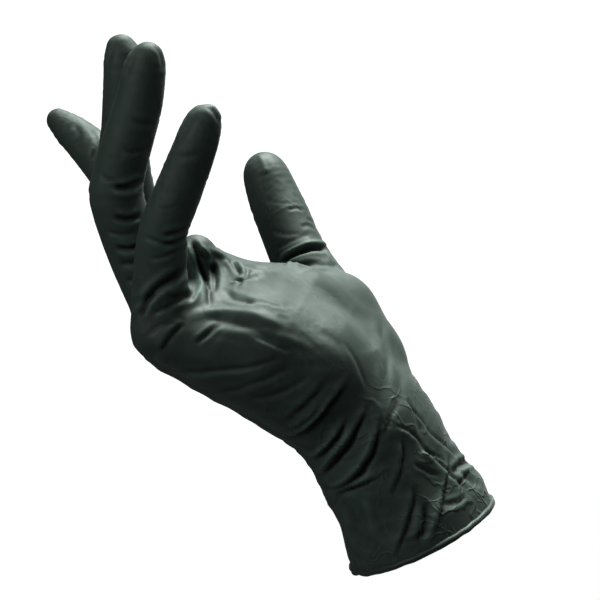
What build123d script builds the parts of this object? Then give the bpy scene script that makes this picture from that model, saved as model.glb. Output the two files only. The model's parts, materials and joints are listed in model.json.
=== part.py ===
# Disposable nitrile glove, medium, in the shape it takes on a right hand with the
# palm turned up and the fingers half curled.  Millimetres, +Z up, +X towards the
# cuff, +Y towards the thumb side.  Origin: centre of the cuff opening.
#
# The real glove is one dipped film with a rolled bead.  Here the film is divided
# into the zones between which it flexes: stiff-shaped sleeves over the bones and
# folds over the joints.  Every zone is a thin open shell.
from build123d import *
import os

# ---------------------------------------------------------------- dimensions
film = 0.5            # wall of every zone
gap = 0.35            # clearance between zones that move apart
bead_r = 0.9          # radius of the rolled bead at the cuff

# joint centres of each digit: root, middle joint, end joint, centre of the tip
little = [(-82.5, -34.0, 72.9), (-83.0, -43.0, 102.5), (-75.0, -48.0, 122.1), (-69.5, -51.0, 136.5)]
ring = [(-86.4, -16.0, 81.3), (-99.0, -26.0, 117.0), (-94.0, -32.0, 142.5), (-89.9, -35.0, 158.4)]
middle = [(-88.5, 2.0, 85.4), (-98.0, -8.0, 125.2), (-97.9, -13.0, 149.3), (-97.7, -16.0, 163.9)]
index = [(-79.8, 19.6, 85.5), (-97.4, 33.0, 112.7), (-113.7, 43.0, 131.2), (-124.9, 49.0, 143.4)]
thumb = [(-26.0, 25.0, 72.0), (-30.5, 38.0, 85.3), (-43.7, 50.0, 113.0), (-50.5, 54.0, 126.1)]

# how far along the first bone each digit flexes at its root, just clear of the webs
little_root, ring_root, middle_root, index_root, thumb_root = 14.4, 16.0, 16.0, 15.0, 12.5

# film radius at the root, the middle joint, the end joint and the tip
little_r = [9.0, 8.0, 7.3, 6.0]
ring_r = [9.1, 8.7, 8.0, 6.6]
middle_r = [9.1, 8.8, 8.1, 6.6]
index_r = [9.1, 8.9, 8.0, 6.2]
thumb_r = [14.5, 11.5, 10.3, 8.2]

root_half = 4.3       # half length of the fold at the root of a finger or the thumb
bend_half = 7.3       # half length of the fold over a middle joint
tip_half = 5.0        # half length of the fold over an end joint
thumb_reach = 10.0    # how far the thumb opening stands off the thumb's root joint
thumb_half = 7.5      # half length of the fold over the thumb's joint

wrist = (-17.8, -4.0, 37.2)          # centre of the wrist
palm_dir = Vector(-0.846, -0.02, 0.533)   # wrist towards the knuckles
across = Vector(0.10, 0.945, 0.31)        # little finger side towards thumb side
cuff_dir = Vector(0.43, 0.097, -0.898)    # wrist towards the cuff opening
wrist_half = 9.0      # half length of the fold at the wrist

# palm cross-sections: distance from the wrist, width, thickness, lift to the palm side
palm_sections = [(wrist_half + gap, 57, 45, 1.0), (24, 68, 49, 7.0), (48, 80, 47, 7.0),
                 (68, 80, 34, 1.0), (80, 60, 18, 0.0)]
# cuff cross-sections: distance from the wrist, width, thickness
cuff_sections = [(wrist_half, 57, 46), (24, 60, 49), (41.6, 65, 57)]


# ---------------------------------------------------------------- helpers
def unit(v):
    return v * (1.0 / v.length)


def along(a, b, d):
    """Point at distance d from a towards b."""
    a, b = Vector(*a), Vector(*b)
    return a + unit(b - a) * d


def reach(a, b):
    return (Vector(*b) - Vector(*a)).length


def radius(a, b, ra, rb, d):
    """Film radius at distance d from a, tapering evenly from ra to rb."""
    return ra + (rb - ra) * d / reach(a, b)


def cross_section(origin, direction, sideways):
    """Plane square to direction with its x axis along sideways."""
    d = unit(direction)
    x = unit(sideways - d * sideways.dot(d))
    return Plane(origin=origin, x_dir=x, z_dir=d)


def sleeve(a, b, ra, rb, start, end):
    """Open tapered tube on the line a-b from distance start to distance end."""
    r0, r1 = radius(a, b, ra, rb, start), radius(a, b, ra, rb, end)
    base = Plane(origin=along(a, b, start), z_dir=unit(Vector(*b) - Vector(*a)))
    profile = Plane(origin=base.origin, x_dir=base.x_dir, z_dir=base.y_dir * -1.0)
    with BuildPart() as tube:
        with BuildSketch(profile):
            with BuildLine():
                Polyline((r0 - film, 0), (r0, 0), (r1, end - start), (r1 - film, end - start), close=True)
            make_face()
        revolve(axis=Axis(base.origin, base.z_dir))
    return tube


def fingertip(a, b, ra, rb, start):
    """Closed end of a digit: a tapered tube with a round cap about b."""
    r0 = radius(a, b, ra, rb, start)
    top = reach(a, b) - start
    base = Plane(origin=along(a, b, start), z_dir=unit(Vector(*b) - Vector(*a)))
    profile = Plane(origin=base.origin, x_dir=base.x_dir, z_dir=base.y_dir * -1.0)
    with BuildPart() as tip:
        with BuildSketch(profile):
            with BuildLine():
                Line((r0 - film, 0), (r0, 0))
                Line((r0, 0), (rb, top))
                RadiusArc((rb, top), (0, top + rb), -rb)
                Line((0, top + rb), (0, top + rb - film))
                RadiusArc((0, top + rb - film), (rb - film, top), rb - film)
                Line((rb - film, top), (r0 - film, 0))
            make_face()
        revolve(axis=Axis(base.origin, base.z_dir))
    return tip


def fold(a, j, b, r_at, half_in, half_out):
    """Bent tube over joint j, from half_in before it (on a-j) to half_out after it (on j-b)."""
    before, after = along(j, a, half_in), along(j, b, half_out)
    crown = (before + after) * 0.25 + Vector(*j) * 0.5
    with BuildPart() as elbow:
        for wall, how in ((0.0, Mode.ADD), (film, Mode.SUBTRACT)):
            for point, direction in ((before, Vector(*j) - before), (crown, after - before),
                                     (after, after - Vector(*j))):
                with BuildSketch(cross_section(point, direction, across)):
                    Circle(r_at - wall)
            loft(mode=how)
    return elbow


os.makedirs("parts", exist_ok=True)


def keep(builder, name):
    builder.part.label = name
    export_step(builder.part, "parts/" + name + ".step")


# ---------------------------------------------------------------- cuff
cuff_end = Vector(*wrist) + cuff_dir * cuff_sections[-1][0]
with BuildPart() as cuff_sleeve:
    for wall, how in ((0.0, Mode.ADD), (film, Mode.SUBTRACT)):
        for distance, width, thick in cuff_sections:
            with BuildSketch(cross_section(Vector(*wrist) + cuff_dir * distance, cuff_dir, across)):
                Ellipse(width / 2 - wall, thick / 2 - wall)
        loft(mode=how)
keep(cuff_sleeve, "cuff_sleeve")

rim = cross_section(cuff_end + cuff_dir * bead_r, cuff_dir, across)
with BuildPart() as cuff_bead:
    with BuildLine(rim) as rim_line:
        EllipticalCenterArc((0, 0), cuff_sections[-1][1] / 2 - bead_r, cuff_sections[-1][2] / 2 - bead_r,
                            start_angle=0, arc_size=360)
    with BuildSketch(Plane(origin=rim_line.line @ 0, z_dir=rim_line.line % 0)):
        Circle(bead_r)
    sweep(path=rim_line.line)
keep(cuff_bead, "cuff_bead")

# ---------------------------------------------------------------- wrist fold
wrist_in = cross_section(Vector(*wrist) + cuff_dir * wrist_half, cuff_dir * -1.0, across)
wrist_mid = cross_section(Vector(*wrist), palm_dir - cuff_dir, across)
wrist_out = cross_section(Vector(*wrist) + palm_dir * wrist_half, palm_dir, across)
with BuildPart() as wrist_fold:
    for wall, how in ((0.0, Mode.ADD), (film, Mode.SUBTRACT)):
        for plane, width, thick in ((wrist_in, 57, 46), (wrist_mid, 55, 43), (wrist_out, 57, 44)):
            with BuildSketch(plane):
                Ellipse(width / 2 - wall, thick / 2 - wall)
        loft(mode=how)
keep(wrist_fold, "wrist_fold")

# ---------------------------------------------------------------- palm and back of the hand
roots = ((little, little_r, little_root), (ring, ring_r, ring_root),
         (middle, middle_r, middle_root), (index, index_r, index_root))
palm_up = unit(across.cross(palm_dir))
with BuildPart() as hand_body:
    for wall, how in ((0.0, Mode.ADD), (film, Mode.SUBTRACT)):
        past = 0.0 if wall == 0.0 else 5.0
        for distance, width, thick, lift in palm_sections:
            inward = wall if distance == palm_sections[-1][0] else 0.0
            with BuildSketch(cross_section(Vector(*wrist) + palm_dir * (distance - inward) + palm_up * lift,
                                           palm_dir, across)):
                Ellipse(width / 2 - wall, thick / 2 - wall)
        loft(mode=how)
        for joints, radii, flex in roots:
            with Locations(Vector(*joints[0])):
                Sphere(radii[0] - wall, mode=how)
            with BuildSketch(cross_section(joints[0], Vector(*joints[1]) - Vector(*joints[0]), across)):
                Circle(radii[0] - wall)
            extrude(amount=flex - root_half + past, mode=how)
        # ball of the thumb, from the wrist to the thumb's root joint
        for point, size in ((thumb[0], thumb_r[0]), (thumb[1], thumb_r[1])):
            with Locations(Vector(*point)):
                Sphere(size - wall, mode=how)
        for point, size in ((thumb[0], thumb_r[0]), (thumb[1], thumb_r[1])):
            with BuildSketch(cross_section(point, Vector(*thumb[1]) - Vector(*thumb[0]), across)):
                Circle(size - wall)
        loft(mode=how)
        with BuildSketch(cross_section(thumb[1], Vector(*thumb[2]) - Vector(*thumb[1]), across)):
            Circle(thumb_r[1] - wall)
        extrude(amount=thumb_root - root_half + past, mode=how)
keep(hand_body, "hand_body")

# ---------------------------------------------------------------- fingers
for finger, joints, radii, flex in (("little", little, little_r, little_root), ("ring", ring, ring_r, ring_root),
                                    ("middle", middle, middle_r, middle_root), ("index", index, index_r, index_root)):
    a, b, c, d = joints
    keep(sleeve(a, b, radii[0], radii[0], flex - root_half, flex + root_half - gap), finger + "_root_fold")
    keep(sleeve(a, b, radii[0], radii[1], flex + root_half, reach(a, b) - bend_half), finger + "_proximal_sleeve")
    keep(fold(a, b, c, radii[1], bend_half, bend_half - gap), finger + "_knuckle_fold")
    keep(sleeve(b, c, radii[1], radii[2], bend_half, reach(b, c) - tip_half), finger + "_middle_sleeve")
    keep(fold(b, c, d, radii[2], tip_half, tip_half - gap), finger + "_tip_fold")
    keep(fingertip(c, d, radii[2], radii[3], tip_half), finger + "_fingertip")

# ---------------------------------------------------------------- thumb
a, b, c, d = thumb
keep(sleeve(b, c, thumb_r[1], thumb_r[1], thumb_root - root_half, thumb_root + root_half - gap), "thumb_root_fold")
keep(sleeve(b, c, thumb_r[1], thumb_r[2], thumb_root + root_half, reach(b, c) - thumb_half), "thumb_proximal_sleeve")
keep(fold(b, c, d, thumb_r[2], thumb_half, thumb_half - gap), "thumb_knuckle_fold")
keep(fingertip(c, d, thumb_r[2], thumb_r[3], thumb_half), "thumb_tip")
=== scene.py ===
# Disposable nitrile glove, worn shape.  One film, modelled as one surface and divided
# where it flexes.  Metres, row frame.
import json
import math
import bpy
import numpy as np
import openvdb
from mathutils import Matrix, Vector

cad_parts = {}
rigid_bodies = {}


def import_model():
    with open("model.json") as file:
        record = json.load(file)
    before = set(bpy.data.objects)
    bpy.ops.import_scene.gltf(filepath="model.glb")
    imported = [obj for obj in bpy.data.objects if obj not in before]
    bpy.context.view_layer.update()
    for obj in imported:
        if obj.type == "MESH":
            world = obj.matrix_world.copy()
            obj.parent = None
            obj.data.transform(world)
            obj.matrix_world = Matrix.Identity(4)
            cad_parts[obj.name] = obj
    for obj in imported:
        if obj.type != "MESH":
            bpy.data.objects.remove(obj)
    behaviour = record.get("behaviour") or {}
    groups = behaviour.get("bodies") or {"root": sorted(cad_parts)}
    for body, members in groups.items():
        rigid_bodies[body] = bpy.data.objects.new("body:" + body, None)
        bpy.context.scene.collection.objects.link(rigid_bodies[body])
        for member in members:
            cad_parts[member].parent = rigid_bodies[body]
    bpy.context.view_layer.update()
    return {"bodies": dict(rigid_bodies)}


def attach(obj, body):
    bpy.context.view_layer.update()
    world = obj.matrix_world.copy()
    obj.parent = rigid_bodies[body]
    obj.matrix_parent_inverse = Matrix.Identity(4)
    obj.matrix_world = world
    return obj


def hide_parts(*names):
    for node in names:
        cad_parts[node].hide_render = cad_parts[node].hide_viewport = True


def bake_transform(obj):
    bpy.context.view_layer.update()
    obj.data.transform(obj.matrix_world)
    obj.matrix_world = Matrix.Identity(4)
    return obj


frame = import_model()

# ------------------------------------------------------------------ skeleton, in millimetres
EYE = np.array([-39.0, -838.0, 80.0])   # the camera's place, level with the palm
REACH = 830.0                           # from there to the front plane, y = -8


def front(P):
    """Places on the upright front plane in line with points P: x, z."""
    Q = P - EYE
    s = REACH / Q[:, 1]
    return np.stack([EYE[0] + Q[:, 0] * s, EYE[2] + Q[:, 2] * s], 1)


def unit(v):
    v = np.asarray(v, float)
    return v / np.linalg.norm(v)


ACROSS = unit([0.10, 0.945, 0.31])
PALM = unit([-0.846, -0.02, 0.533])
UP = unit(np.cross(ACROSS, PALM))
CUFF = unit([0.43, 0.097, -0.898])
WRIST = np.array([-17.8, -4.0, 37.2])

# each digit's centre line in millimetres: x, y, z and the radius of the film there
CHAIN = {
    "little": [(-83.8, -34.0, 71.9, 10.2), (-84.4, -38.0, 88.1, 8.6), (-83.0, -43.0, 101.8, 7.9),
              (-78.8, -46.0, 112.6, 7.7), (-75.2, -48.0, 121.5, 7.3), (-71.9, -50.0, 129.9, 6.8),
              (-69.8, -51.0, 135.6, 5.9), (-68.7, -51.5, 138.1, 4.1)],
    "ring": [(-86.8, -16.0, 80.7, 9.4), (-93.7, -21.0, 95.8, 8.9), (-99.0, -25.5, 112.8, 9.0),
            (-98.4, -27.0, 120.6, 8.6), (-95.1, -30.0, 132.2, 8.3), (-91.7, -32.0, 143.4, 7.9),
            (-89.5, -34.0, 154.0, 7.0), (-88.4, -35.0, 158.4, 5.3)],
    "middle": [(-88.5, 2.6, 85.4, 9.4), (-94.3, -3.0, 106.3, 8.8), (-98.0, -7.0, 125.3, 8.7),
              (-97.1, -11.0, 136.7, 8.3), (-96.9, -13.0, 148.3, 7.8), (-97.1, -15.0, 158.1, 7.0),
              (-98.2, -16.0, 163.3, 4.9)],
    "index": [(-79.8, 19.0, 86.2, 9.8), (-89.3, 27.0, 101.6, 9.2), (-98.1, 33.0, 115.2, 8.8),
             (-105.5, 39.0, 125.0, 8.3), (-112.6, 43.0, 133.0, 7.5), (-119.7, 46.5, 139.6, 6.2),
             (-125.5, 49.0, 144.4, 4.2)],
    "thumb": [(-21.2, 10.0, 54.7, 15.0), (-28.2, 27.0, 73.7, 13.8), (-35.8, 38.0, 88.1, 11.2),
             (-41.1, 43.0, 99.2, 10.0), (-44.7, 47.0, 108.2, 9.8), (-47.8, 50.0, 115.5, 9.4),
             (-50.5, 52.0, 122.7, 8.6), (-51.6, 53.0, 125.7, 7.6), (-52.1, 53.5, 127.3, 5.6)],
}
JOINTS = {
    "little": [(-82.5, -34.0, 72.9), (-83.0, -43.0, 102.5), (-75.0, -48.0, 122.1), (-69.5, -51.0, 136.5)],
    "ring": [(-86.4, -16.0, 81.3), (-99.0, -26.0, 117.0), (-94.0, -32.0, 142.5), (-89.9, -35.0, 158.4)],
    "middle": [(-88.5, 2.0, 85.4), (-98.0, -8.0, 125.2), (-97.9, -13.0, 149.3), (-97.7, -16.0, 163.9)],
    "index": [(-79.8, 19.6, 85.5), (-97.4, 33.0, 112.7), (-113.7, 43.0, 131.2), (-124.9, 49.0, 143.4)],
    "thumb": [(-26.0, 25.0, 72.0), (-30.5, 38.0, 85.3), (-43.7, 50.0, 113.0), (-50.5, 54.0, 126.1)],
}
JOINTS = {k: [np.array(p) for p in v] for k, v in JOINTS.items()}
FLEX = {"little": 14.4, "ring": 16.0, "middle": 16.0, "index": 15.0, "thumb": 12.5}

# palm and cuff: distance along, half width, half thickness, lift
PALM_SEC = [(-18, 19.0, 13.0, 2.2), (-8, 23.5, 18.0, 2.6), (2, 26.2, 20.4, 3.6), (12, 28.8, 21.6, 5.4),
            (24, 33.0, 22.9, 6.9), (40, 38.0, 22.4, 7.4), (56, 40.0, 21.2, 5.4), (68, 40.0, 17.8, 2.4), (78, 38.0, 11.5, 0.2)]
CUFF_SEC = [(-18, 18.0, 12.0, 1.4), (-8, 23.0, 17.9, 0.6), (2, 26.4, 20.7, 0.9), (14, 28.6, 22.8, 1.7), (26, 29.4, 23.6, 2.8),
            (34, 31.0, 25.2, 3.3), (42, 32.0, 25.8, 2.8), (48, 33.5, 27.0, 2.4)]

VOX = 0.75


# ------------------------------------------------------------------ the film as an implicit surface
def smin(a, b, k):
    h = np.clip(0.5 + 0.5 * (b - a) / k, 0.0, 1.0)
    return b * (1 - h) + a * h - k * h * (1 - h)


CHAIN = {n: (np.array([p[:3] for p in c]), np.array([p[3] for p in c], float)) for n, c in CHAIN.items()}


def cone(P, a, b, ra, rb):
    ab = b - a
    t = np.clip(((P - a) @ ab) / (ab @ ab), 0, 1)
    return np.linalg.norm(P - a - t[:, None] * ab, axis=1) - (ra + (rb - ra) * t)


def refine(pts, rad, n=3):
    """Points and radii on a smooth curve through a chain."""
    out, orad = [], []
    m = len(pts)
    for i in range(m - 1):
        p0, p1, p2, p3 = pts[max(i - 1, 0)], pts[i], pts[i + 1], pts[min(i + 2, m - 1)]
        r0, r1, r2, r3 = rad[max(i - 1, 0)], rad[i], rad[i + 1], rad[min(i + 2, m - 1)]
        for k in range(n):
            t = k / n
            f = [-t + 2 * t * t - t ** 3, 2 - 5 * t * t + 3 * t ** 3, t + 4 * t * t - 3 * t ** 3, -t * t + t ** 3]
            out.append(0.5 * (f[0] * p0 + f[1] * p1 + f[2] * p2 + f[3] * p3))
            orad.append(0.5 * (f[0] * r0 + f[1] * r1 + f[2] * r2 + f[3] * r3))
    out.append(pts[-1])
    orad.append(rad[-1])
    return np.array(out), np.array(orad)


FINE = {n: refine(*c) for n, c in CHAIN.items()}


def digit_field(P, name):
    pts, rad = FINE[name]
    d = np.full(len(P), 1e3)
    for i in range(len(pts) - 1):
        d = np.minimum(d, cone(P, pts[i], pts[i + 1], rad[i], rad[i + 1]))
    return d


def tube_field(P, axis, rows, s_round):
    """Lofted oval along axis from the wrist.  rows: s, half width, half thickness, lift."""
    rows = np.array([list(r) + [0.0] * (4 - len(r)) for r in rows], float)
    x = unit(ACROSS - axis * (ACROSS @ axis))
    y = unit(np.cross(x, axis)) if axis @ PALM > 0 else unit(np.cross(axis, x))
    if y @ UP < 0:
        y = -y
    Q = P - WRIST
    s = Q @ axis
    a, b, l = (np.interp(s, rows[:, 0], rows[:, i]) for i in (1, 2, 3))
    u, v = Q @ x, Q @ y - l
    q = np.sqrt((u / a) ** 2 + (v / b) ** 2) + 1e-6
    rho = np.sqrt(u * u + v * v) + 1e-6
    d = np.where(q > 0.35, rho * (1 - 1 / q), (q - 1) * np.minimum(a, b))
    lo, hi = rows[0, 0], rows[-1, 0]
    over = np.maximum(s - hi, lo - s)
    return np.maximum(d, over) if s_round == 0 else -smin(-d, -over, s_round)


# soft pads of the palm and the wrist end, as single balls: centre, radius
PADS = [((-40.4, 4.0, 76.9), 15.0), ((-26.3, 15.0, 72.4), 14.6), ((-55.7, -10.0, 77.3), 13.0),
        ((-51.4, -28.0, 65.9), 14.0), ((-35.0, -20.0, 57.5), 16.5), ((-70.7, -2.0, 84.0), 11.5),
        ((-17.8, 10.0, 58.8), 14.8), ((-78.2, -28.0, 71.5), 10.0), ((-73.0, 4.0, 87.5), 9.5),
        ((-60.2, 10.0, 80.7), 10.0), ((-80.2, -14.0, 74.3), 11.0), ((-26.5, 20.0, 77.9), 10.0),
        ((-73.6, -14.0, 95.3), 6.5)]


def field(P):
    palm = tube_field(P, PALM, PALM_SEC, 5.0)
    for c, r in PADS:
        palm = smin(palm, np.linalg.norm(P - c, axis=1) - r, 9.0)
    f = None
    for n in ("little", "ring", "middle", "index"):
        d = digit_field(P, n)
        f = d if f is None else smin(f, d, 1.0)
    body = smin(palm, f, 5.5)
    body = smin(body, digit_field(P, "thumb"), 7.0)
    cuff = tube_field(P, CUFF, CUFF_SEC, 0)
    return smin(body, cuff, 9.0)


def make_surface():
    lo = np.array([-138.0, -62.0, -30.0])
    hi = np.array([40.0, 68.0, 178.0])
    n = np.ceil((hi - lo) / VOX).astype(int)
    # coarse pass finds the cells near the surface, the fine pass fills only those
    C = 3
    nc = np.ceil(n / C).astype(int) + 1
    gc = np.stack(np.meshgrid(*[np.arange(k) for k in nc], indexing="ij"), -1).reshape(-1, 3)
    fc = field(lo + gc * (C * VOX)).reshape(nc)
    arr = np.repeat(np.repeat(np.repeat(fc, C, 0), C, 1), C, 2)[: n[0], : n[1], : n[2]].astype(np.float32)
    near = np.abs(arr) < C * VOX * 2.1
    idx = np.argwhere(near)
    vals = np.empty(len(idx), np.float32)
    for k in range(0, len(idx), 400000):
        vals[k:k + 400000] = field(lo + idx[k:k + 400000] * VOX)
    arr[near] = vals
    grid = openvdb.FloatGrid(1000.0)
    grid.copyFromArray(arr)
    pts, quads = grid.convertToQuads(0.0)
    return lo + np.asarray(pts, float) * VOX, np.asarray(quads, int)


def grad(P, e=0.25):
    g = np.empty_like(P)
    for i in range(3):
        o = np.zeros(3)
        o[i] = e
        g[:, i] = field(P + o) - field(P - o)
    return g / (2 * e)


def edges_of(quads):
    e = np.concatenate([quads[:, [0, 1]], quads[:, [1, 2]], quads[:, [2, 3]], quads[:, [3, 0]]])
    e = np.sort(e, 1)
    return np.unique(e, axis=0)


def smooth_values(v, E, steps, w=0.5):
    n = len(v)
    cnt = np.bincount(E[:, 0], minlength=n) + np.bincount(E[:, 1], minlength=n)
    cnt = np.maximum(cnt, 1)
    v = np.array(v, float)
    flat = v.ndim == 1
    if flat:
        v = v[:, None]
    for _ in range(steps):
        acc = np.zeros_like(v)
        for c in range(v.shape[1]):
            acc[:, c] = np.bincount(E[:, 0], v[E[:, 1], c], n) + np.bincount(E[:, 1], v[E[:, 0], c], n)
        v = v * (1 - w) + w * acc / cnt[:, None]
    return v[:, 0] if flat else v


def vertex_normals(V, quads):
    d1 = V[quads[:, 2]] - V[quads[:, 0]]
    d2 = V[quads[:, 3]] - V[quads[:, 1]]
    fn = np.cross(d1, d2)
    n = np.zeros_like(V)
    for k in range(4):
        for c in range(3):
            n[:, c] += np.bincount(quads[:, k], fn[:, c], len(V))
    return n / np.maximum(np.linalg.norm(n, axis=1), 1e-9)[:, None]


V, QUADS = make_surface()
E = edges_of(QUADS)
for it in range(2):
    V = V + 0.9 * (smooth_values(V, E, 2, 0.6) - V)
    f0 = field(V)
    g = np.stack([field(V + 0.2 * ax) - f0 for ax in np.eye(3)], 1) / 0.2
    V = V - (f0 / np.maximum((g * g).sum(1), 0.15))[:, None] * g * 0.95
N = vertex_normals(V, QUADS)
if np.mean(np.einsum("ij,ij->i", N[::60], grad(V[::60]))) < 0:
    QUADS = QUADS[:, ::-1]
    N = -N
print("film", len(V), len(QUADS))

# ------------------------------------------------------------------ digit coordinates and regions
AX = {}
for n, (a, b, c, d) in JOINTS.items():
    AX[n] = (unit(b - a), unit(c - b), unit(d - c), np.linalg.norm(b - a), np.linalg.norm(c - b))
DIG = ["little", "ring", "middle", "index", "thumb"]
DF = np.stack([digit_field(V, n) for n in DIG], 1)
NEAR = DF.argmin(1)
NEARV = DF.min(1)


def noise3(P, seed):
    """Smooth value noise in -1..1."""
    Pi = np.floor(P).astype(np.int64)
    f = P - Pi
    f = f * f * (3 - 2 * f)

    def h(ix, iy, iz):
        k = (ix * 73856093) ^ (iy * 19349663) ^ (iz * 83492791) ^ (seed * 2654435761)
        k = (k ^ (k >> 13)) * 1274126177
        k = k ^ (k >> 16)
        return (k & 0xFFFF) / 32767.5 - 1.0

    out = 0.0
    for dx in (0, 1):
        for dy in (0, 1):
            for dz in (0, 1):
                w = (f[:, 0] if dx else 1 - f[:, 0]) * (f[:, 1] if dy else 1 - f[:, 1]) * (f[:, 2] if dz else 1 - f[:, 2])
                out = out + w * h(Pi[:, 0] + dx, Pi[:, 1] + dy, Pi[:, 2] + dz)
    return out


def ramp(x, a, b):
    t = np.clip((x - a) / (b - a), 0, 1)
    return t * t * (3 - 2 * t)


# places on the front plane, with a slight wander so that no fold runs dead straight
FR = front(V)
FR = FR + 0.57 * np.stack([noise3(V * 0.11, 201), -noise3(V * 0.11, 202)], 1)
FR = FR + 0.23 * np.stack([noise3(V * 0.3, 203), -noise3(V * 0.3, 204)], 1)
DEPTH = V[:, 1]
FACING = -N[:, 1]
disp = np.zeros(len(V))


def poly_dist(pts, mask):
    """Signed distance (mm, on the front plane) and place along a polyline, for the masked points."""
    Q = FR[mask]
    pts = np.asarray(pts, float)
    # smooth the polyline
    if len(pts) > 2:
        pts = refine(pts, np.zeros(len(pts)), 4)[0]
    seg = np.linalg.norm(np.diff(pts, axis=0), axis=1)
    cum = np.concatenate([[0], np.cumsum(seg)])
    best = np.full(len(Q), 1e9)
    sgn = np.zeros(len(Q))
    pos = np.zeros(len(Q))
    for i in range(len(pts) - 1):
        a, b = pts[i], pts[i + 1]
        ab = b - a
        t = np.clip(((Q - a) @ ab) / (ab @ ab + 1e-9), 0, 1)
        r = Q - a - t[:, None] * ab
        d = np.linalg.norm(r, axis=1)
        m = d < best
        best = np.where(m, d, best)
        cr = ab[1] * (Q[:, 0] - a[0]) - ab[0] * (Q[:, 1] - a[1])
        sgn = np.where(m, np.sign(cr), sgn)
        pos = np.where(m, (cum[i] + t * seg[i]) / cum[-1], pos)
    return best * sgn, pos, cum[-1]


def stroke(kind, pts, amp, width, who=None, facing=0.05, ends=0.18):
    """kind r ridge, g groove, f fold (raised to the right of the stroke's direction, sharp edge on the left)."""
    pts = np.asarray(pts, float)
    lo, hi = pts.min(0) - width * 5, pts.max(0) + width * 5
    m = (FR[:, 0] > lo[0]) & (FR[:, 0] < hi[0]) & (FR[:, 1] > lo[1]) & (FR[:, 1] < hi[1]) & (FACING > facing - 0.05)
    if who is not None:
        m &= who
    m = np.flatnonzero(m)
    if len(m) == 0:
        return
    x, t, length = poly_dist(pts, m)
    fade = ramp(t, 0.0, ends) * ramp(1 - t, 0.0, ends) if ends > 0 else 1.0
    fade = np.maximum(fade, 0.0) * ramp(FACING[m], facing - 0.05, facing + 0.12)
    if kind == "r":
        p = np.exp(-(x / width) ** 2)
    elif kind == "g":
        p = -np.exp(-(x / width) ** 2) + 0.45 * np.exp(-((np.abs(x) - 2.0 * width) / width) ** 2)
    else:
        q = x / width
        p = np.where(q > 0, np.exp(-q / 2.2), 0.0) - 0.75 * np.exp(-((q + 0.55) / 0.55) ** 2)
        p = np.where((q > -0.45) & (q <= 0.25), np.interp(q, [-0.45, 0.25], [-0.55, 0.95]), p)
    disp[m] += amp * fade * p


# ------------------------------------------------------------------ pieces
SC = (V - WRIST) @ CUFF
RIM = 41.6

# ------------------------------------------------------------------ folds of the film, as lines of x, z on the front plane, in millimetres
hand = (NEAR == 4) | (NEARV > 2.2)
L, R_, M_, I_, T_ = [(NEAR == i) & (NEARV < 2.5) for i in range(5)]
# wrist: slack film pushed into rolls on the back-of-hand side
for pts, amp, w in (
    ([(-22.2, 55.9), (-26.3, 49.8), (-33.0, 41.5), (-39.0, 35.8), (-46.4, 33.8)], 2.3, 1.7),
    ([(-23.6, 42.5), (-26.9, 35.1), (-31.0, 30.1), (-37.0, 26.7)], 1.9, 1.5),
    ([(-16.9, 45.8), (-20.2, 37.8), (-24.9, 29.8), (-30.3, 23.7), (-36.3, 21.4)], 2.5, 1.7),
    ([(-12.9, 42.5), (-13.5, 35.1), (-16.2, 27.7), (-20.9, 21.7), (-26.3, 18.7), (-33.6, 18.0)], 2.3, 1.7),
    ([(-10.9, 23.0), (-17.6, 19.7), (-25.6, 16.7), (-30.3, 15.7)], 1.5, 1.3),
    ([(-28.3, 55.9), (-38.3, 45.8), (-48.4, 38.1)], 0.8, 1.8),
    ([(-31.6, 47.2), (-37.7, 40.5), (-44.4, 36.4)], 0.7, 1.2),
):
    stroke("f", pts, amp * 0.9, w * 0.95, None, 0.0, 0.42)
# cuff: lengthwise slack folds and a few diagonal tucks
for pts, amp, w, kd in (
    ([(-5.8, 35.8), (-5.2, 29.1), (-6.5, 21.7), (-10.9, 13.0)], 0.9, 1.5, "f"),
    ([(8.6, 29.8), (9.9, 23.0), (8.6, 14.3), (7.2, 6.3), (4.9, 0.3)], 1.1, 1.2, "f"),
    ([(20.0, 27.4), (15.6, 25.1), (11.2, 21.7)], 1.5, 1.3, "g"),
    ([(18.0, 23.7), (15.3, 19.7), (11.9, 17.7)], 0.7, 1.0, "f"),
    ([(-5.5, 47.8), (1.2, 39.8), (6.6, 31.1)], 0.7, 0.9, "f"),
    ([(-8.2, 38.5), (-2.1, 35.1), (2.5, 29.8)], 0.8, 0.9, "f"),
    ([(1.2, 29.1), (6.6, 27.1), (9.9, 23.7)], 0.9, 0.8, "f"),
    ([(-1.5, 25.7), (3.9, 22.4), (7.9, 21.0)], 0.6, 0.8, "g"),
    ([(7.9, 11.3), (13.3, 12.3), (18.0, 15.0)], 0.6, 0.9, "g"),
    ([(-4.8, -2.1), (1.2, 0.9), (5.2, 3.6)], 0.5, 0.9, "g"),
    ([(11.9, 36.4), (11.2, 31.1), (13.9, 27.1)], 0.6, 0.9, "g"),
    ([(-2.1, 19.0), (-1.8, 12.3), (-4.2, 2.9), (-8.8, -7.1)], 1.1, 1.6, "f"),
    ([(2.5, 13.0), (3.2, 6.3), (0.5, -3.1)], 1.0, 1.5, "g"),
    ([(-1.5, 33.1), (5.2, 26.4), (11.9, 19.7), (18.6, 14.0)], 1.0, 1.4, "f"),
    ([(2.5, 37.1), (9.9, 29.8), (15.9, 23.7)], 0.8, 1.3, "f"),
    ([(-18.2, 16.3), (-14.9, 7.6), (-13.5, -2.1)], 0.9, 1.9, "r"),
    ([(-24.9, 13.0), (-21.6, 4.3), (-18.2, -5.8)], 0.8, 1.6, "r"),
    ([(13.3, 23.0), (18.0, 19.7), (21.3, 16.3)], 0.8, 1.0, "g"),
    ([(-10.2, 33.1), (-8.2, 40.5), (-5.5, 46.5)], 0.6, 1.5, "f"),
    ([(-4.2, 49.2), (-0.8, 39.8), (1.2, 33.1)], 0.6, 1.4, "f"),
):
    stroke(kd, pts, amp * 0.85, w * 0.85, None, 0.0, 0.3)
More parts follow.
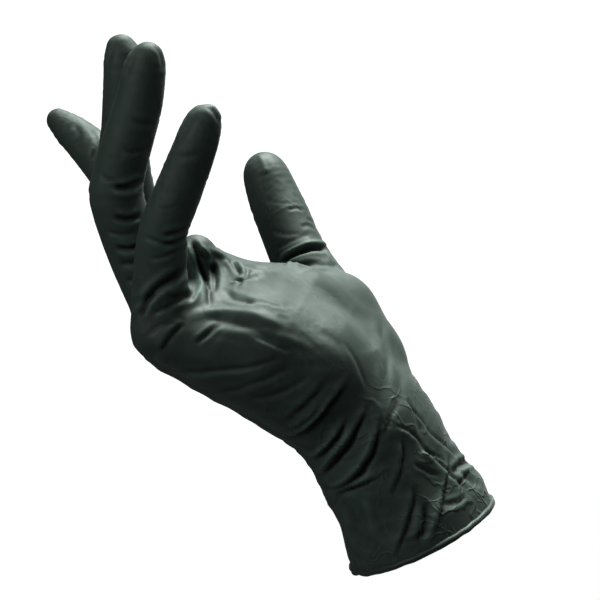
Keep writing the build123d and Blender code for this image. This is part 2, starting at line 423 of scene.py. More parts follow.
# heel of the hand: long shallow tension lines
for pts, amp, w, kd in (
    ([(-55.8, 67.3), (-48.4, 64.3), (-41.0, 61.6)], 0.32, 1.0, "f"),
    ([(-85.9, 56.5), (-72.5, 55.5), (-56.4, 56.2), (-41.7, 61.2)], 0.6, 1.4, "f"),
    ([(-73.8, 49.2), (-62.5, 48.8), (-51.7, 51.9), (-39.0, 57.9)], 0.45, 1.6, "f"),
    ([(-47.0, 86.0), (-37.0, 80.7), (-25.6, 73.3), (-16.9, 63.9)], 0.40, 1.6, "r"),
    ([(-51.7, 82.7), (-40.3, 76.0), (-28.9, 67.3), (-21.6, 59.9)], 0.40, 1.7, "g"),
    ([(-39.0, 88.0), (-28.3, 81.3), (-18.9, 71.3)], 0.35, 1.4, "g"),
    ([(-31.6, 90.7), (-22.9, 82.7), (-14.9, 72.6)], 0.30, 1.3, "r"),
    ([(-59.1, 45.8), (-47.0, 47.8), (-33.0, 54.5)], 0.45, 1.8, "f"),
    ([(-12.9, 76.0), (-10.2, 63.2), (-9.5, 49.2)], 0.40, 1.2, "g"),
    ([(-9.5, 70.6), (-6.5, 59.2), (-4.8, 46.5)], 0.40, 1.2, "g"),
    ([(-15.5, 70.0), (-13.2, 57.9), (-12.9, 45.8)], 0.35, 1.2, "r"),
    ([(-6.2, 63.9), (-2.1, 51.9), (2.5, 42.5)], 0.40, 1.3, "g"),
    ([(-25.6, 66.6), (-20.2, 57.9), (-16.9, 48.5)], 0.35, 1.5, "f"),
    ([(-65.8, 68.6), (-55.1, 69.3), (-43.7, 67.3), (-31.6, 63.2)], 0.35, 1.6, "r"),
):
    stroke(kd, pts, amp, w, hand, 0.0, 0.3)
# gathered film at the root of the little finger
for pts, amp, w, kd in (
    ([(-94.6, 78.0), (-89.2, 82.0), (-81.9, 87.0), (-77.2, 92.1)], 1.3, 1.3, "g"),
    ([(-93.9, 74.0), (-90.6, 79.3), (-87.2, 82.7)], 1.0, 1.0, "g"),
    ([(-77.2, 101.4), (-73.5, 92.1), (-71.2, 85.4), (-69.8, 76.0)], 1.6, 1.7, "f"),
    ([(-75.8, 100.1), (-71.8, 95.4), (-68.5, 92.7)], 0.8, 0.8, "g"),
    ([(-69.2, 92.7), (-67.1, 87.7), (-68.1, 82.0)], 1.0, 0.9, "g"),
    ([(-77.9, 74.0), (-70.5, 75.6), (-61.8, 76.0), (-51.7, 74.0), (-40.3, 68.6)], 0.9, 1.6, "r"),
    ([(-72.5, 73.3), (-64.5, 73.0), (-55.8, 70.6), (-45.0, 64.9)], 0.5, 1.6, "g"),
    ([(-60.4, 92.7), (-58.1, 89.4), (-57.4, 84.7)], 0.9, 0.8, "r"),
    ([(-68.5, 98.1), (-63.8, 92.7), (-60.4, 88.0)], 0.8, 0.8, "r"),
    ([(-73.2, 99.4), (-69.8, 94.1), (-68.5, 89.4)], 0.7, 0.8, "r"),
    ([(-55.8, 90.7), (-57.1, 87.4), (-60.4, 83.3)], 0.7, 0.7, "g"),
    ([(-77.9, 73.3), (-82.6, 68.6), (-87.2, 63.2)], 0.9, 1.4, "f"),
    ([(-74.5, 65.3), (-69.8, 68.6), (-65.1, 72.3)], 0.9, 0.75, "g"),
    ([(-73.8, 91.4), (-72.2, 84.0), (-75.8, 76.7)], 0.9, 1.2, "r"),
    ([(-65.1, 94.7), (-59.8, 89.4), (-55.8, 86.0)], 0.45, 0.7, "g"),
    ([(-62.5, 85.4), (-57.1, 85.7), (-51.7, 88.0)], 1.0, 1.0, "f"),
    ([(-66.5, 96.8), (-61.1, 92.7), (-53.7, 90.0), (-45.7, 89.4)], 0.8, 1.3, "f"),
    ([(-65.1, 82.0), (-59.8, 80.3), (-53.1, 78.7)], 0.6, 0.9, "g"),
    ([(-70.5, 98.8), (-66.5, 95.1), (-60.4, 92.1)], 0.45, 0.8, "r"),
    ([(-82.6, 80.0), (-77.2, 81.3), (-73.2, 80.0)], 0.8, 1.2, "g"),
    ([(-89.2, 74.0), (-83.9, 76.0), (-77.9, 80.0)], 0.7, 1.2, "f"),
    ([(-91.3, 66.6), (-85.9, 70.0), (-79.9, 71.3)], 0.6, 1.3, "f"),
    ([(-59.1, 78.0), (-51.7, 78.7), (-43.0, 76.0)], 0.6, 1.3, "f"),
):
    stroke(kd, pts, amp, w, None, 0.0, 0.25)
# little finger
for pts, amp, w, kd in (
    ([(-77.2, 104.8), (-80.5, 102.4), (-85.2, 101.4)], 0.8, 0.9, "g"),
    ([(-76.5, 102.1), (-79.9, 99.8), (-85.9, 98.1)], 0.7, 0.9, "g"),
    ([(-91.9, 101.4), (-86.6, 98.8), (-80.5, 98.1)], 0.5, 1.0, "f"),
    ([(-89.9, 92.7), (-83.9, 94.1), (-79.2, 96.8)], 0.5, 1.1, "f"),
    ([(-71.5, 130.2), (-76.5, 128.2), (-82.6, 127.6)], 0.22, 0.9, "g"),
    ([(-78.5, 114.8), (-82.6, 111.5), (-87.2, 111.5)], 0.25, 1.0, "f"),
    ([(-66.1, 140.3), (-66.8, 133.6), (-69.2, 125.2), (-73.2, 115.2)], 0.35, 1.0, "r"),
    ([(-70.5, 145.0), (-68.5, 143.0), (-66.8, 139.6)], 0.38, 0.6, "g"),
    ([(-69.5, 145.7), (-67.1, 143.3), (-65.8, 139.6)], 0.30, 0.6, "r"),
):
    stroke(kd, pts, amp, w, L, 0.0, 0.25)
# ring finger
for pts, amp, w, kd in (
    ([(-102.7, 118.9), (-98.0, 117.9), (-93.3, 119.5), (-90.6, 120.9)], 1.1, 0.9, "g"),
    ([(-102.0, 116.2), (-97.3, 115.2), (-91.9, 116.8)], 0.6, 0.9, "r"),
    ([(-106.7, 121.5), (-102.7, 119.9), (-98.6, 119.5)], 0.6, 1.0, "f"),
    ([(-102.0, 108.1), (-97.3, 107.1), (-91.9, 108.8)], 0.9, 0.9, "g"),
    ([(-104.7, 102.8), (-99.3, 101.4), (-93.3, 102.8)], 0.5, 1.1, "f"),
    ([(-101.3, 98.1), (-96.6, 97.4), (-91.9, 99.1)], 0.9, 0.9, "g"),
    ([(-100.0, 92.7), (-95.3, 92.1), (-90.6, 94.1)], 0.6, 1.1, "g"),
    ([(-98.0, 86.0), (-93.3, 86.4), (-89.9, 88.7)], 0.7, 1.1, "f"),
    ([(-96.0, 141.0), (-91.3, 139.0), (-86.6, 139.6)], 0.3, 1.0, "g"),
    ([(-98.6, 130.2), (-94.6, 128.9), (-89.2, 130.2)], 0.35, 1.1, "f"),
    ([(-85.2, 154.4), (-85.9, 147.0), (-87.9, 138.6), (-90.6, 130.2)], 0.30, 1.0, "r"),
    ([(-87.9, 165.1), (-85.6, 162.4), (-84.9, 157.7)], 0.35, 0.6, "g"),
    ([(-88.6, 140.3), (-87.2, 143.0), (-85.9, 147.0)], 0.22, 0.7, "g"),
    ([(-93.9, 126.9), (-90.6, 130.2), (-88.6, 134.9)], 0.22, 0.7, "g"),
):
    stroke(kd, pts, amp, w, R_, 0.0, 0.25)
# middle, index
for pts, amp, w, kd in (
    ([(-104.7, 140.3), (-102.0, 139.6), (-99.3, 140.3)], 0.35, 1.0, "g"),
    ([(-106.0, 126.9), (-103.3, 125.9), (-101.3, 126.2)], 0.45, 1.0, "g"),
):
    stroke(kd, pts, amp, w, M_, 0.0, 0.25)
for pts, amp, w, kd in (
    ([(-114.7, 139.6), (-112.7, 135.6), (-113.4, 131.6)], 0.35, 1.0, "g"),
    ([(-110.0, 137.6), (-108.0, 132.3), (-109.4, 126.2)], 0.5, 1.0, "f"),
):
    stroke(kd, pts, amp, w, I_, 0.0, 0.25)
# thumb
for pts, amp, w, kd in (
    ([(-45.0, 91.4), (-43.4, 93.7), (-40.0, 95.7), (-35.3, 97.1), (-29.6, 96.8)], 1.7, 0.8, "g"),
    ([(-41.7, 91.7), (-38.0, 93.4), (-33.0, 94.7), (-27.9, 94.1)], 0.6, 1.0, "r"),
    ([(-40.0, 90.7), (-34.0, 92.1), (-26.6, 91.7)], 0.5, 0.7, "g"),
    ([(-39.0, 103.8), (-36.3, 104.5), (-33.6, 103.1)], 0.30, 0.6, "g"),
    ([(-42.7, 109.8), (-40.3, 110.5), (-38.0, 109.5)], 0.40, 0.5, "g"),
    ([(-37.0, 106.5), (-35.0, 105.8), (-33.0, 103.8)], 0.25, 0.5, "g"),
    ([(-49.0, 102.8), (-44.4, 101.4), (-39.0, 101.4)], 0.18, 1.2, "f"),
    ([(-52.4, 128.9), (-51.1, 125.9), (-49.7, 122.2)], 0.35, 0.7, "r"),
    ([(-51.7, 113.5), (-47.0, 111.8), (-41.7, 111.8)], 0.10, 1.1, "f"),
    ([(-47.7, 96.1), (-42.4, 99.1), (-35.0, 100.8)], 0.3, 1.3, "f"),
):
    stroke(kd, pts, amp, w, T_ if min(p[1] for p in pts) > 100.1 else None, 0.0, 0.12)


# ------------------------------------------------------------------ slack film on every side, from the shape itself
HID = ramp(0.25 - FACING, 0.0, 0.35)     # weight of surfaces turned from the front
seen = 0.12 + 0.88 * HID


def rings(n, origin, axis, side, where, amp, width, count, spread, seed, half=1.2):
    """Creases that run round a digit near a joint, strongest on one side."""
    sel = np.flatnonzero((NEAR == DIG.index(n)) & (NEARV < 2.2) & (np.abs((V - origin) @ axis - where) < spread + 5))
    if len(sel) == 0:
        return
    Q = V[sel] - origin
    s = Q @ axis - where
    rad_ = Q - np.outer(Q @ axis, axis)
    rad_ /= np.linalg.norm(rad_, axis=1)[:, None] + 1e-9
    sidew = ramp(rad_ @ side, -0.2, 0.75)
    bend = 0.9 * noise3(V[sel] * 0.16 + 5.1, seed) + 0.5 * noise3(V[sel] * 0.35, seed + 3)
    for i in range(count):
        s0 = (i - (count - 1) / 2) * (2 * spread / max(count, 1))
        x = (s - s0 - bend * 1.6) / width
        on = 0.45 + 0.55 * noise3(V[sel] * 0.21 + 11.0 * i, seed + 7 + i)
        disp[sel] += amp * seen[sel] * sidew * np.clip(on, 0, 1) * (-np.exp(-x * x) + 0.5 * np.exp(-((np.abs(x) - 1.9)) ** 2))


for n in ("little", "ring", "middle", "index"):
    a, b, c, d = JOINTS[n]
    e1, e2, e3, L1, L2 = AX[n]
    palmar1 = unit(np.cross(ACROSS, e1))
    palmar2 = unit(np.cross(ACROSS, e2))
    palmar3 = unit(np.cross(ACROSS, e3))
    m_ = 0.45 if n == "index" else 1.0
    rings(n, b, e2, palmar2, 0.0, 0.55 * m_, 0.85, 3, 3.2, 21)
    rings(n, c, e3, palmar3, 0.0, 0.35 * m_, 0.8, 2, 2.2, 33)
    rings(n, a, e1, palmar1, 16.0, 0.6, 0.95, 3, 4.0, 45)
    rings(n, b, e2, -palmar2, 0.0, 0.35 * m_, 0.9, 3, 4.0, 57)
    rings(n, c, e3, -palmar3, 0.0, 0.25 * m_, 0.8, 2, 2.5, 61)
    # the nail near each fingertip, raised, with a shallow groove along both its sides
    sel = np.flatnonzero((NEAR == DIG.index(n)) & (NEARV < 2.0))
    Q = V[sel] - c
    s = Q @ e3
    up_ = Q @ (-palmar3)
    sd = Q @ unit(np.cross(e3, palmar3))
    tipx = np.linalg.norm(d - c)
    nail = ramp(s, tipx - 9.0, tipx - 5.0) * ramp(up_, 2.0, 4.5) * ramp(5.2 - np.abs(sd), 0.0, 1.5)
    disp[sel] += 0.25 * nail
    edge = np.exp(-((np.abs(sd) - 5.3) / 0.7) ** 2) * ramp(s, tipx - 9.0, tipx - 4.0) * ramp(up_, 1.0, 3.0)
    disp[sel] -= 0.30 * edge
a, b, c, d = JOINTS["thumb"]
e1, e2, e3, L1, L2 = AX["thumb"]
tp = unit(np.array([-0.75, -0.45, -0.15]) - e3 * (np.array([-0.75, -0.45, -0.15]) @ e3))
rings("thumb", c, e3, tp, 0.0, 0.5, 0.9, 3, 3.4, 71)
rings("thumb", c, e3, -tp, 0.0, 0.4, 0.9, 3, 4.0, 75)
rings("thumb", b, e2, -tp, 12.0, 0.7, 1.2, 3, 5.0, 79)

# slack rings round the wrist, on every side
ww = ramp(SC, -16, -6) * ramp(26 - SC, 0, 12) * (0.25 + 0.75 * HID) * (NEARV > 3) * (0.35 + 0.65 * ramp(-(N @ UP), -0.5, 0.3))
u1 = (V - WRIST) @ unit(ACROSS - CUFF * (ACROSS @ CUFF))
u2 = (V - WRIST) @ unit(np.cross(CUFF, ACROSS))
warp = 2.6 * noise3(np.stack([u1, u2, SC * 0.3], 1) * 0.055, 91) + 1.1 * noise3(V * 0.13, 92)
for i, s0 in enumerate((-9.0, -3.0, 4.0, 10.5, 17.0)):
    x = (SC - s0 - warp * 1.8 - 0.10 * u1) / 1.6
    on = np.clip(0.5 + 0.8 * noise3(V * 0.06 + 7.0 * i, 100 + i), 0, 1)
    q = np.where(x > 0, np.exp(-x / 2.0), 0.0)
    q = np.where((x > -0.5) & (x <= 0.2), np.interp(x, [-0.5, 0.2], [-0.3, 0.9]), q) - 0.5 * np.exp(-((x + 0.7) / 0.6) ** 2)
    disp += 1.15 * ww * on * q
# lengthwise slack in the cuff, and fine skin ripples in the palm and back
ang_ = np.arctan2(u2, u1)
cw = ramp(SC, 8, 24) * (NEARV > 3) * (0.3 + 0.7 * HID)
lw = noise3(np.stack([ang_ * 3.1 + 0.02 * SC, SC * 0.045, 0 * SC + 3.0], 1), 121)
disp += 1.0 * cw * (1 - 2.2 * np.abs(lw)) * 0.8
fine = noise3(V @ np.array([[0.10, 0.0, 0.0], [0.0, 0.16, 0.0], [0.0, 0.0, 0.22]]), 131)
lit = ramp(N @ UP, 0.1, 0.7)
disp += 0.16 * (1 - 2.4 * np.abs(fine)) * (NEARV > 1.0) * (1 - 0.8 * lit)
fine2 = noise3(V * 0.42 + 9.0, 132)
disp += 0.07 * (1 - 2.4 * np.abs(fine2)) * ramp(noise3(V * 0.05, 133), -0.1, 0.5)
bk = ramp(-(N @ UP), 0.1, 0.6) * (NEARV > 2.0)
tl = noise3(np.stack([(V @ PALM) * 0.03, (V @ ACROSS) * 0.17, (V @ UP) * 0.05], 1), 141)
disp += 0.45 * bk * (1 - 2.3 * np.abs(tl))

# ------------------------------------------------------------------ displaced surface
disp = smooth_values(disp, E, 1, 0.25)
V = V + N * disp[:, None]
# painted shade and painted highlight for the base colour: low in the hollows of the folds, high on their crests
FOLD_SHADE_PAINT = np.clip(0.5 + 0.75 * (disp - smooth_values(disp, E, 16, 0.7)), 0.0, 1.0)
FOLD_SHADE_PAINT = smooth_values(FOLD_SHADE_PAINT, E, 1, 0.4)
# how slack the film lies: loose at the cuff and wrist, taut over the palm and the fingertips
SLACK = ramp(SC, -22, 10) * 0.9 + 0.45 * ramp(NEARV, 3.0, 9.0) * ramp(-(N @ UP) + 0.3, 0.0, 0.8)
SLACK = SLACK + 0.6 * np.exp(-(np.linalg.norm(V - np.array([-68.0, -14.0, 66.0]), axis=1) / 14.0) ** 2)
SLACK = np.clip(SLACK + 0.12, 0.0, 1.0)
N = vertex_normals(V, QUADS)
SC = (V - WRIST) @ CUFF
SH = (V - WRIST) @ PALM

qc = V[QUADS].mean(1)
keep = ~((SC[QUADS] > RIM).any(1) & (SH[QUADS].mean(1) < 0))
near_q = DF[QUADS].mean(1)
lab_d = near_q.argmin(1)
lab_v = near_q.min(1)
PIECES = {}
label = np.full(len(QUADS), 1)          # 1 hand film
label[(SC[QUADS].mean(1) > 13.0)] = 0   # 0 cuff film
label[(SC[QUADS].mean(1) > -13.0) & (label == 1)] = 99
names = {0: "cuff_film", 1: "hand_film", 99: "wrist_film"}
ROOT_IN, ROOT_OUT = 1.5, 5.0
k = 2
for di, n in enumerate(DIG):
    a, b, c, d = JOINTS[n]
    e1, e2, e3, L1, L2 = AX[n]
    mine = (lab_d == di) & (lab_v < 3.0)
    if n == "thumb":
        a, e1, L1 = b, e2, L2
        p1 = (qc - a) @ e1
        p2 = (qc - c) @ e3
        f = FLEX[n]
        c0, c1 = f - ROOT_IN - 1.2, f + ROOT_OUT + 1.2
        sel = mine & (p1 > c0)
        label[sel] = k
        names[k] = "thumb_root_film"
        label[sel & (p1 > c1)] = k + 1
        names[k + 1] = "thumb_end_film"
        k += 2
        continue
    p1, p2 = (qc - a) @ e1, (qc - b) @ e2
    f = FLEX[n]
    c0, c1 = f - ROOT_IN - 1.2, f + ROOT_OUT + 1.0
    c2 = 0.5 * (7.0 + L2 - 5.0)
    sel = mine & (p1 > c0)
    label[sel] = k
    names[k] = n + "_root_film"
    label[sel & (p1 > c1)] = k + 1
    names[k + 1] = n + "_knuckle_film"
    label[sel & (p1 > c1) & (p2 > c2) & (p1 > L1 - 4)] = k + 2
    names[k + 2] = n + "_tip_film"
    k += 3
label[~keep] = -1

THICK = 0.42


def piece_mesh(name, quads):
    used, inv = np.unique(quads, return_inverse=True)
    q = inv.reshape(quads.shape)
    m = len(used)
    outer, inner = V[used], V[used] - N[used] * THICK
    e = np.concatenate([q[:, [0, 1]], q[:, [1, 2]], q[:, [2, 3]], q[:, [3, 0]]])
    key = np.sort(e, 1)
    u, first, count = np.unique(key, axis=0, return_index=True, return_counts=True)
    b = e[first[count == 1]]
    faces = np.concatenate([q, q[:, ::-1] + m, np.stack([b[:, 1], b[:, 0], b[:, 0] + m, b[:, 1] + m], 1)])
    co = np.concatenate([outer, inner]) / 1000.0
    me = bpy.data.meshes.new(name)
    me.vertices.add(len(co))
    me.vertices.foreach_set("co", co.ravel())
    me.loops.add(faces.size)
    me.loops.foreach_set("vertex_index", faces.ravel().astype(np.int32))
    me.polygons.add(len(faces))
    me.polygons.foreach_set("loop_start", (np.arange(len(faces)) * 4).astype(np.int32))
    me.update(calc_edges=True)
    me.validate()
    me.polygons.foreach_set("use_smooth", np.ones(len(me.polygons), bool))
    # the fold value per point, carried to the material as painted shade and painted highlight; neutral on the inside
    at = me.attributes.new("fold_painted_shade", "FLOAT", "POINT")
    at.data.foreach_set("value", np.concatenate([FOLD_SHADE_PAINT[used], np.full(m, 0.5)]).astype(np.float32))
    at = me.attributes.new("slack", "FLOAT", "POINT")
    at.data.foreach_set("value", np.concatenate([SLACK[used], np.full(m, 0.3)]).astype(np.float32))
    nn = np.concatenate([N[used], -N[used]])
    me.normals_split_custom_set_from_vertices(nn.tolist())
    o = bpy.data.objects.new(name, me)
    bpy.context.scene.collection.objects.link(o)
    return o, b, used


# ------------------------------------------------------------------ material
def film_material(name, tint=1.0, rough=0.64, fine=1.0, spec_level=0.22, fold_shade_and_creases=True):
    m = bpy.data.materials.new(name)
    m.use_nodes = True
    t = m.node_tree
    t.nodes.clear()
    out = t.nodes.new("ShaderNodeOutputMaterial")
    b = t.nodes.new("ShaderNodeBsdfPrincipled")
    t.links.new(b.outputs[0], out.inputs[0])
    co = t.nodes.new("ShaderNodeTexCoord")
    big = t.nodes.new("ShaderNodeTexNoise")
    big.inputs["Scale"].default_value = 38.0
    big.inputs["Detail"].default_value = 4.0
    t.links.new(co.outputs["Object"], big.inputs["Vector"])
    ramp_c = t.nodes.new("ShaderNodeValToRGB")
    ramp_c.color_ramp.elements[0].position = 0.3
    ramp_c.color_ramp.elements[0].color = (0.0132 * tint, 0.0207 * tint, 0.0172 * tint, 1)
    ramp_c.color_ramp.elements[1].position = 0.72
    ramp_c.color_ramp.elements[1].color = (0.0178 * tint, 0.0278 * tint, 0.0231 * tint, 1)
    t.links.new(big.outputs["Fac"], ramp_c.inputs["Fac"])
    # hollows of the folds darker, crests a little lighter where the film is stretched
    # painted shade in the hollows of the folds and painted highlight on their crests, multiplied into the base
    # colour
    at = t.nodes.new("ShaderNodeAttribute")
    at.attribute_name = "fold_painted_shade"
    cr = t.nodes.new("ShaderNodeValToRGB")
    cr.color_ramp.elements[0].position = 0.12
    cr.color_ramp.elements[0].color = (0.14, 0.14, 0.14, 1)
    cr.color_ramp.elements[1].position = 0.85
    cr.color_ramp.elements[1].color = (1.9, 1.9, 1.9, 1)
    mid = cr.color_ramp.elements.new(0.5)
    mid.color = (1.0, 1.0, 1.0, 1)
    t.links.new(at.outputs["Fac"], cr.inputs["Fac"])
    mul = t.nodes.new("ShaderNodeVectorMath")
    mul.operation = "MULTIPLY"
    t.links.new(ramp_c.outputs["Color"], mul.inputs[0])
    t.links.new(cr.outputs["Color"], mul.inputs[1])
    # the base colour takes the painted fold shade and painted highlight only when this flag is set; the same flag
    # adds the fine crease bumps below
    t.links.new((mul if fold_shade_and_creases else ramp_c).outputs[0], b.inputs["Base Color"])
    ro = t.nodes.new("ShaderNodeTexNoise")
    ro.inputs["Scale"].default_value = 140.0
    ro.inputs["Detail"].default_value = 5.0
    t.links.new(co.outputs["Object"], ro.inputs["Vector"])
    mr = t.nodes.new("ShaderNodeMapRange")
    mr.inputs["From Min"].default_value = 0.3
    mr.inputs["From Max"].default_value = 0.7
    mr.inputs["To Min"].default_value = rough - 0.05
    mr.inputs["To Max"].default_value = rough + 0.07
    t.links.new(ro.outputs["Fac"], mr.inputs["Value"])
    t.links.new(mr.outputs["Result"], b.inputs["Roughness"])
    b.inputs["Specular IOR Level"].default_value = spec_level
    # fine creases of the loose film: a network of bent lines, sharp in the middle
    prev = None
    if fold_shade_and_creases:
        wob = t.nodes.new("ShaderNodeTexNoise")
        wob.inputs["Scale"].default_value = 70.0
        wob.inputs["Detail"].default_value = 2.0
        t.links.new(co.outputs["Object"], wob.inputs["Vector"])
        off = t.nodes.new("ShaderNodeVectorMath")
        off.operation = "MULTIPLY_ADD"
        off.inputs[1].default_value = (0.022, 0.022, 0.022)
        t.links.new(wob.outputs["Color"], off.inputs[0])
        t.links.new(co.outputs["Object"], off.inputs[2])
        sl = t.nodes.new("ShaderNodeAttribute")
        sl.attribute_name = "slack"
        for scale, wide, depth in ((48.0, 0.055, 0.00042), (105.0, 0.075, 0.00024)):
            vo = t.nodes.new("ShaderNodeTexVoronoi")
            vo.feature = "DISTANCE_TO_EDGE"
            vo.inputs["Scale"].default_value = scale
            t.links.new(off.outputs["Vector"], vo.inputs["Vector"])
            ln = t.nodes.new("ShaderNodeMapRange")
            ln.inputs["From Min"].default_value = 0.0
            ln.inputs["From Max"].default_value = wide
            ln.inputs["To Min"].default_value = 1.0
            ln.inputs["To Max"].default_value = 0.0
            t.links.new(vo.outputs["Distance"], ln.inputs["Value"])
            gate = t.nodes.new("ShaderNodeTexNoise")
            gate.inputs["Scale"].default_value = scale * 0.9
            t.links.new(co.outputs["Object"], gate.inputs["Vector"])
            gr = t.nodes.new("ShaderNodeMapRange")
            gr.inputs["From Min"].default_value = 0.47
            gr.inputs["From Max"].default_value = 0.60
            t.links.new(gate.outputs["Fac"], gr.inputs["Value"])
            m1 = t.nodes.new("ShaderNodeMath")
            m1.operation = "MULTIPLY"
            t.links.new(ln.outputs["Result"], m1.inputs[0])
            t.links.new(gr.outputs["Result"], m1.inputs[1])
            m2 = t.nodes.new("ShaderNodeMath")
            m2.operation = "MULTIPLY"
            t.links.new(m1.outputs[0], m2.inputs[0])
            t.links.new(sl.outputs["Fac"], m2.inputs[1])
            bp = t.nodes.new("ShaderNodeBump")
            bp.inputs["Strength"].default_value = 0.8
            bp.inputs["Distance"].default_value = depth
            t.links.new(m2.outputs[0], bp.inputs["Height"])
            if prev is not None:
                t.links.new(prev.outputs["Normal"], bp.inputs["Normal"])
            prev = bp
    # three scales of film texture: slack ripples, skin grain, pin-point grain
    for scale, dist, stren, det, rgh in ((95.0, 0.00035, 0.35, 3.0, 0.55), (430.0, 0.00013, 0.45, 3.0, 0.65),
                                         (2600.0, 0.00003, 0.30 * fine, 2.0, 0.6)):
        nz = t.nodes.new("ShaderNodeTexNoise")
        nz.inputs["Scale"].default_value = scale
        nz.inputs["Detail"].default_value = det
        nz.inputs["Roughness"].default_value = rgh
        t.links.new(co.outputs["Object"], nz.inputs["Vector"])
        bp = t.nodes.new("ShaderNodeBump")
        bp.inputs["Strength"].default_value = stren
        bp.inputs["Distance"].default_value = dist
        t.links.new(nz.outputs["Fac"], bp.inputs["Height"])
        if prev is not None:
            t.links.new(prev.outputs["Normal"], bp.inputs["Normal"])
        prev = bp
    t.links.new(prev.outputs["Normal"], b.inputs["Normal"])
    return m


FILM = film_material("nitrile_film_look")
BEAD = film_material("nitrile_bead_look", tint=0.7, rough=0.55, fine=0.6, fold_shade_and_creases=False)

bodies = frame["bodies"]
cad_of = {
    "cuff_film": ["cuff_sleeve"], "wrist_film": ["wrist_fold"], "hand_film": ["hand_body"],
    "thumb_root_film": ["thumb_root_fold"],
    "thumb_end_film": ["thumb_proximal_sleeve", "thumb_knuckle_fold", "thumb_tip"],
}
for n in ("little", "ring", "middle", "index"):
    cad_of[n + "_root_film"] = [n + "_root_fold"]
    cad_of[n + "_knuckle_film"] = [n + "_proximal_sleeve", n + "_knuckle_fold"]
    cad_of[n + "_tip_film"] = [n + "_middle_sleeve", n + "_tip_fold", n + "_fingertip"]

rim_loop = None
for kk, name in names.items():
    o, border, used = piece_mesh(name, QUADS[label == kk])
    o.data.materials.append(FILM)
    if name == "cuff_film":
        gb = used[np.unique(border)]
        rim_loop = gb[SC[gb] > RIM - 4.0]
        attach(o, "cuff")
    elif name in ("hand_film", "wrist_film"):
        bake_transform(o)
    else:
        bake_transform(o)
    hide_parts(*cad_of[name])
    print("piece", name, len(o.data.polygons))

# ------------------------------------------------------------------ rolled bead on the rim
cx = unit(ACROSS - CUFF * (ACROSS @ CUFF))
cy = unit(np.cross(CUFF, cx))
R0 = V[rim_loop] - WRIST
ang = np.arctan2(R0 @ cy, R0 @ cx)
rad = np.hypot(R0 @ cy, R0 @ cx)
hh = R0 @ CUFF
o_ = np.argsort(ang)
ang, rad, hh = ang[o_], rad[o_], hh[o_]
M = 360
th = np.linspace(-math.pi, math.pi, M, endpoint=False)
rr = np.interp(th, ang, rad, period=2 * math.pi)
hz = np.interp(th, ang, hh, period=2 * math.pi)
ker = np.hanning(9)
ker /= ker.sum()
wrap = lambda x: np.convolve(np.concatenate([x[-8:], x, x[:8]]), ker, "same")[8:-8]
rr, hz = wrap(rr), wrap(wrap(hz))
centre = WRIST + np.outer(rr * np.cos(th), cx) + np.outer(rr * np.sin(th), cy) + np.outer(hz + 0.1, CUFF)
tan = np.roll(centre, -1, 0) - np.roll(centre, 1, 0)
tan /= np.linalg.norm(tan, axis=1)[:, None]
outw = np.outer(np.cos(th), cx) + np.outer(np.sin(th), cy)
outw -= (outw * tan).sum(1)[:, None] * tan
outw /= np.linalg.norm(outw, axis=1)[:, None]
bi = np.cross(tan, outw)
K = 16
br = 1.08 + 0.07 * np.sin(5 * th + 1.0) * np.sin(3 * th) + 0.05 * np.sin(17 * th + 0.4)
bv = []
for j in range(K):
    p = 2 * math.pi * j / K
    bv.append(centre + (br * math.cos(p))[:, None] * outw + (br * math.sin(p))[:, None] * bi)
bv = np.stack(bv, 1).reshape(-1, 3) / 1000
bf = []
for i in range(M):
    for j in range(K):
        a_, b_ = i * K + j, i * K + (j + 1) % K
        c_, d_ = ((i + 1) % M) * K + (j + 1) % K, ((i + 1) % M) * K + j
        bf.append((a_, d_, c_, b_))
me = bpy.data.meshes.new("cuff_bead_film")
me.from_pydata(bv.tolist(), [], bf)
me.polygons.foreach_set("use_smooth", np.ones(len(bf), bool))
bead = bpy.data.objects.new("cuff_bead_film", me)
bpy.context.scene.collection.objects.link(bead)
me.materials.append(BEAD)
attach(bead, "cuff")
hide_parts("cuff_bead")


# ------------------------------------------------------------------ stage, light, camera
def plain(name, col, emit=0.0, rough=0.9):
    m = bpy.data.materials.new(name)
    m.use_nodes = True
    b = m.node_tree.nodes["Principled BSDF"]
    b.inputs["Base Color"].default_value = (*col, 1)
    b.inputs["Roughness"].default_value = rough
    b.inputs["Specular IOR Level"].default_value = 0.0
    if emit:
        b.inputs["Emission Color"].default_value = (1, 1, 1, 1)
        b.inputs["Emission Strength"].default_value = emit
    return m


def slab(name, verts, mat):
    me = bpy.data.meshes.new(name)
    me.from_pydata(verts, [], [tuple(range(len(verts)))])
    o = bpy.data.objects.new(name, me)
    bpy.context.scene.collection.objects.link(o)
    me.materials.append(mat)
    return o


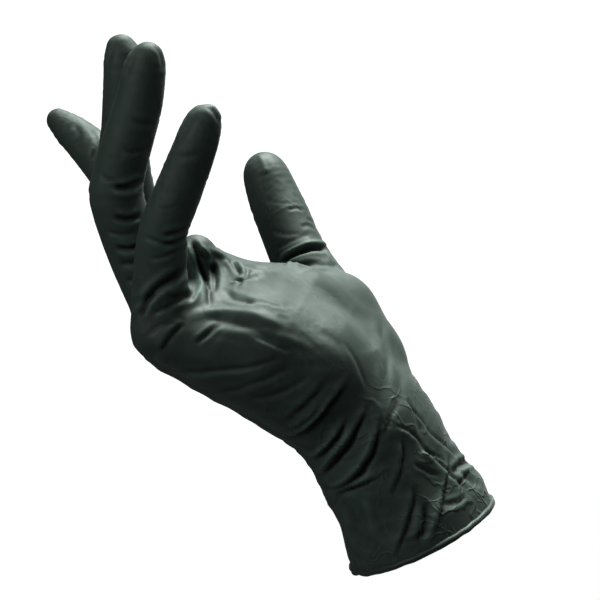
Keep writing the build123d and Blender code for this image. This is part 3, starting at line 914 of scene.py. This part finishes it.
# a pale floor well below the held glove, bright enough to burn out to white
floor_look = plain("floor_pale", (0.10, 0.10, 0.10))
ft = floor_look.node_tree
fe = ft.nodes.new("ShaderNodeEmission")
fe.inputs["Strength"].default_value = 1.0
fl = ft.nodes.new("ShaderNodeLightPath")
fm = ft.nodes.new("ShaderNodeMixShader")
ft.links.new(fl.outputs["Is Camera Ray"], fm.inputs[0])
ft.links.new(ft.nodes["Principled BSDF"].outputs[0], fm.inputs[1])
ft.links.new(fe.outputs[0], fm.inputs[2])
ft.links.new(fm.outputs[0], ft.nodes["Material Output"].inputs["Surface"])
slab("floor", [(-6, -6, -0.45), (6, -6, -0.45), (6, 6, -0.45), (-6, 6, -0.45)], floor_look)

world = bpy.data.worlds.new("studio")
bpy.context.scene.world = world
world.use_nodes = True
wt = world.node_tree
bg = wt.nodes["Background"]
lp = wt.nodes.new("ShaderNodeLightPath")
mix = wt.nodes.new("ShaderNodeMixShader")
bg2 = wt.nodes.new("ShaderNodeBackground")
bg.inputs["Color"].default_value = (0.80, 0.86, 0.84, 1)
bg.inputs["Strength"].default_value = 0.13
bg2.inputs["Color"].default_value = (1, 1, 1, 1)
bg2.inputs["Strength"].default_value = 1.15
wt.links.new(lp.outputs["Is Camera Ray"], mix.inputs[0])
wt.links.new(bg.outputs[0], mix.inputs[1])
wt.links.new(bg2.outputs[0], mix.inputs[2])
wt.links.new(mix.outputs[0], wt.nodes["World Output"].inputs["Surface"])


def area(name, loc, target, size, power, color=(1, 1, 1)):
    l = bpy.data.lights.new(name, "AREA")
    l.shape = "RECTANGLE"
    l.size, l.size_y = size
    l.energy = power
    l.color = color
    o = bpy.data.objects.new(name, l)
    bpy.context.scene.collection.objects.link(o)
    o.location = loc
    o.rotation_euler = (Vector(target) - Vector(loc)).to_track_quat("-Z", "Y").to_euler()
    return o


aim = (-0.045, 0.0, 0.075)
area("key", (0.12, 0.28, 1.05), aim, (0.45, 0.45), 50.0, (0.90, 1.0, 0.945))
area("side", (0.90, 0.10, 0.35), aim, (0.5, 0.8), 1.5, (0.95, 1.0, 0.97))
area("fill", (-0.62, -0.56, 0.44), aim, (0.5, 0.5), 5.0, (0.93, 1.0, 0.98))
area("back", (0.25, 1.10, 0.30), aim, (0.8, 0.8), 5.0, (0.95, 1.0, 0.97))

cam = bpy.data.cameras.new("camera")
cam.sensor_width = 36.0
cam.lens = 148.66
cam.clip_start, cam.clip_end = 0.05, 20
co = bpy.data.objects.new("camera", cam)
bpy.context.scene.collection.objects.link(co)
co.location = tuple(EYE / 1000)
co.rotation_euler = (math.radians(90), 0, 0)
bpy.context.scene.camera = co
bpy.context.scene.view_settings.view_transform = "Standard"
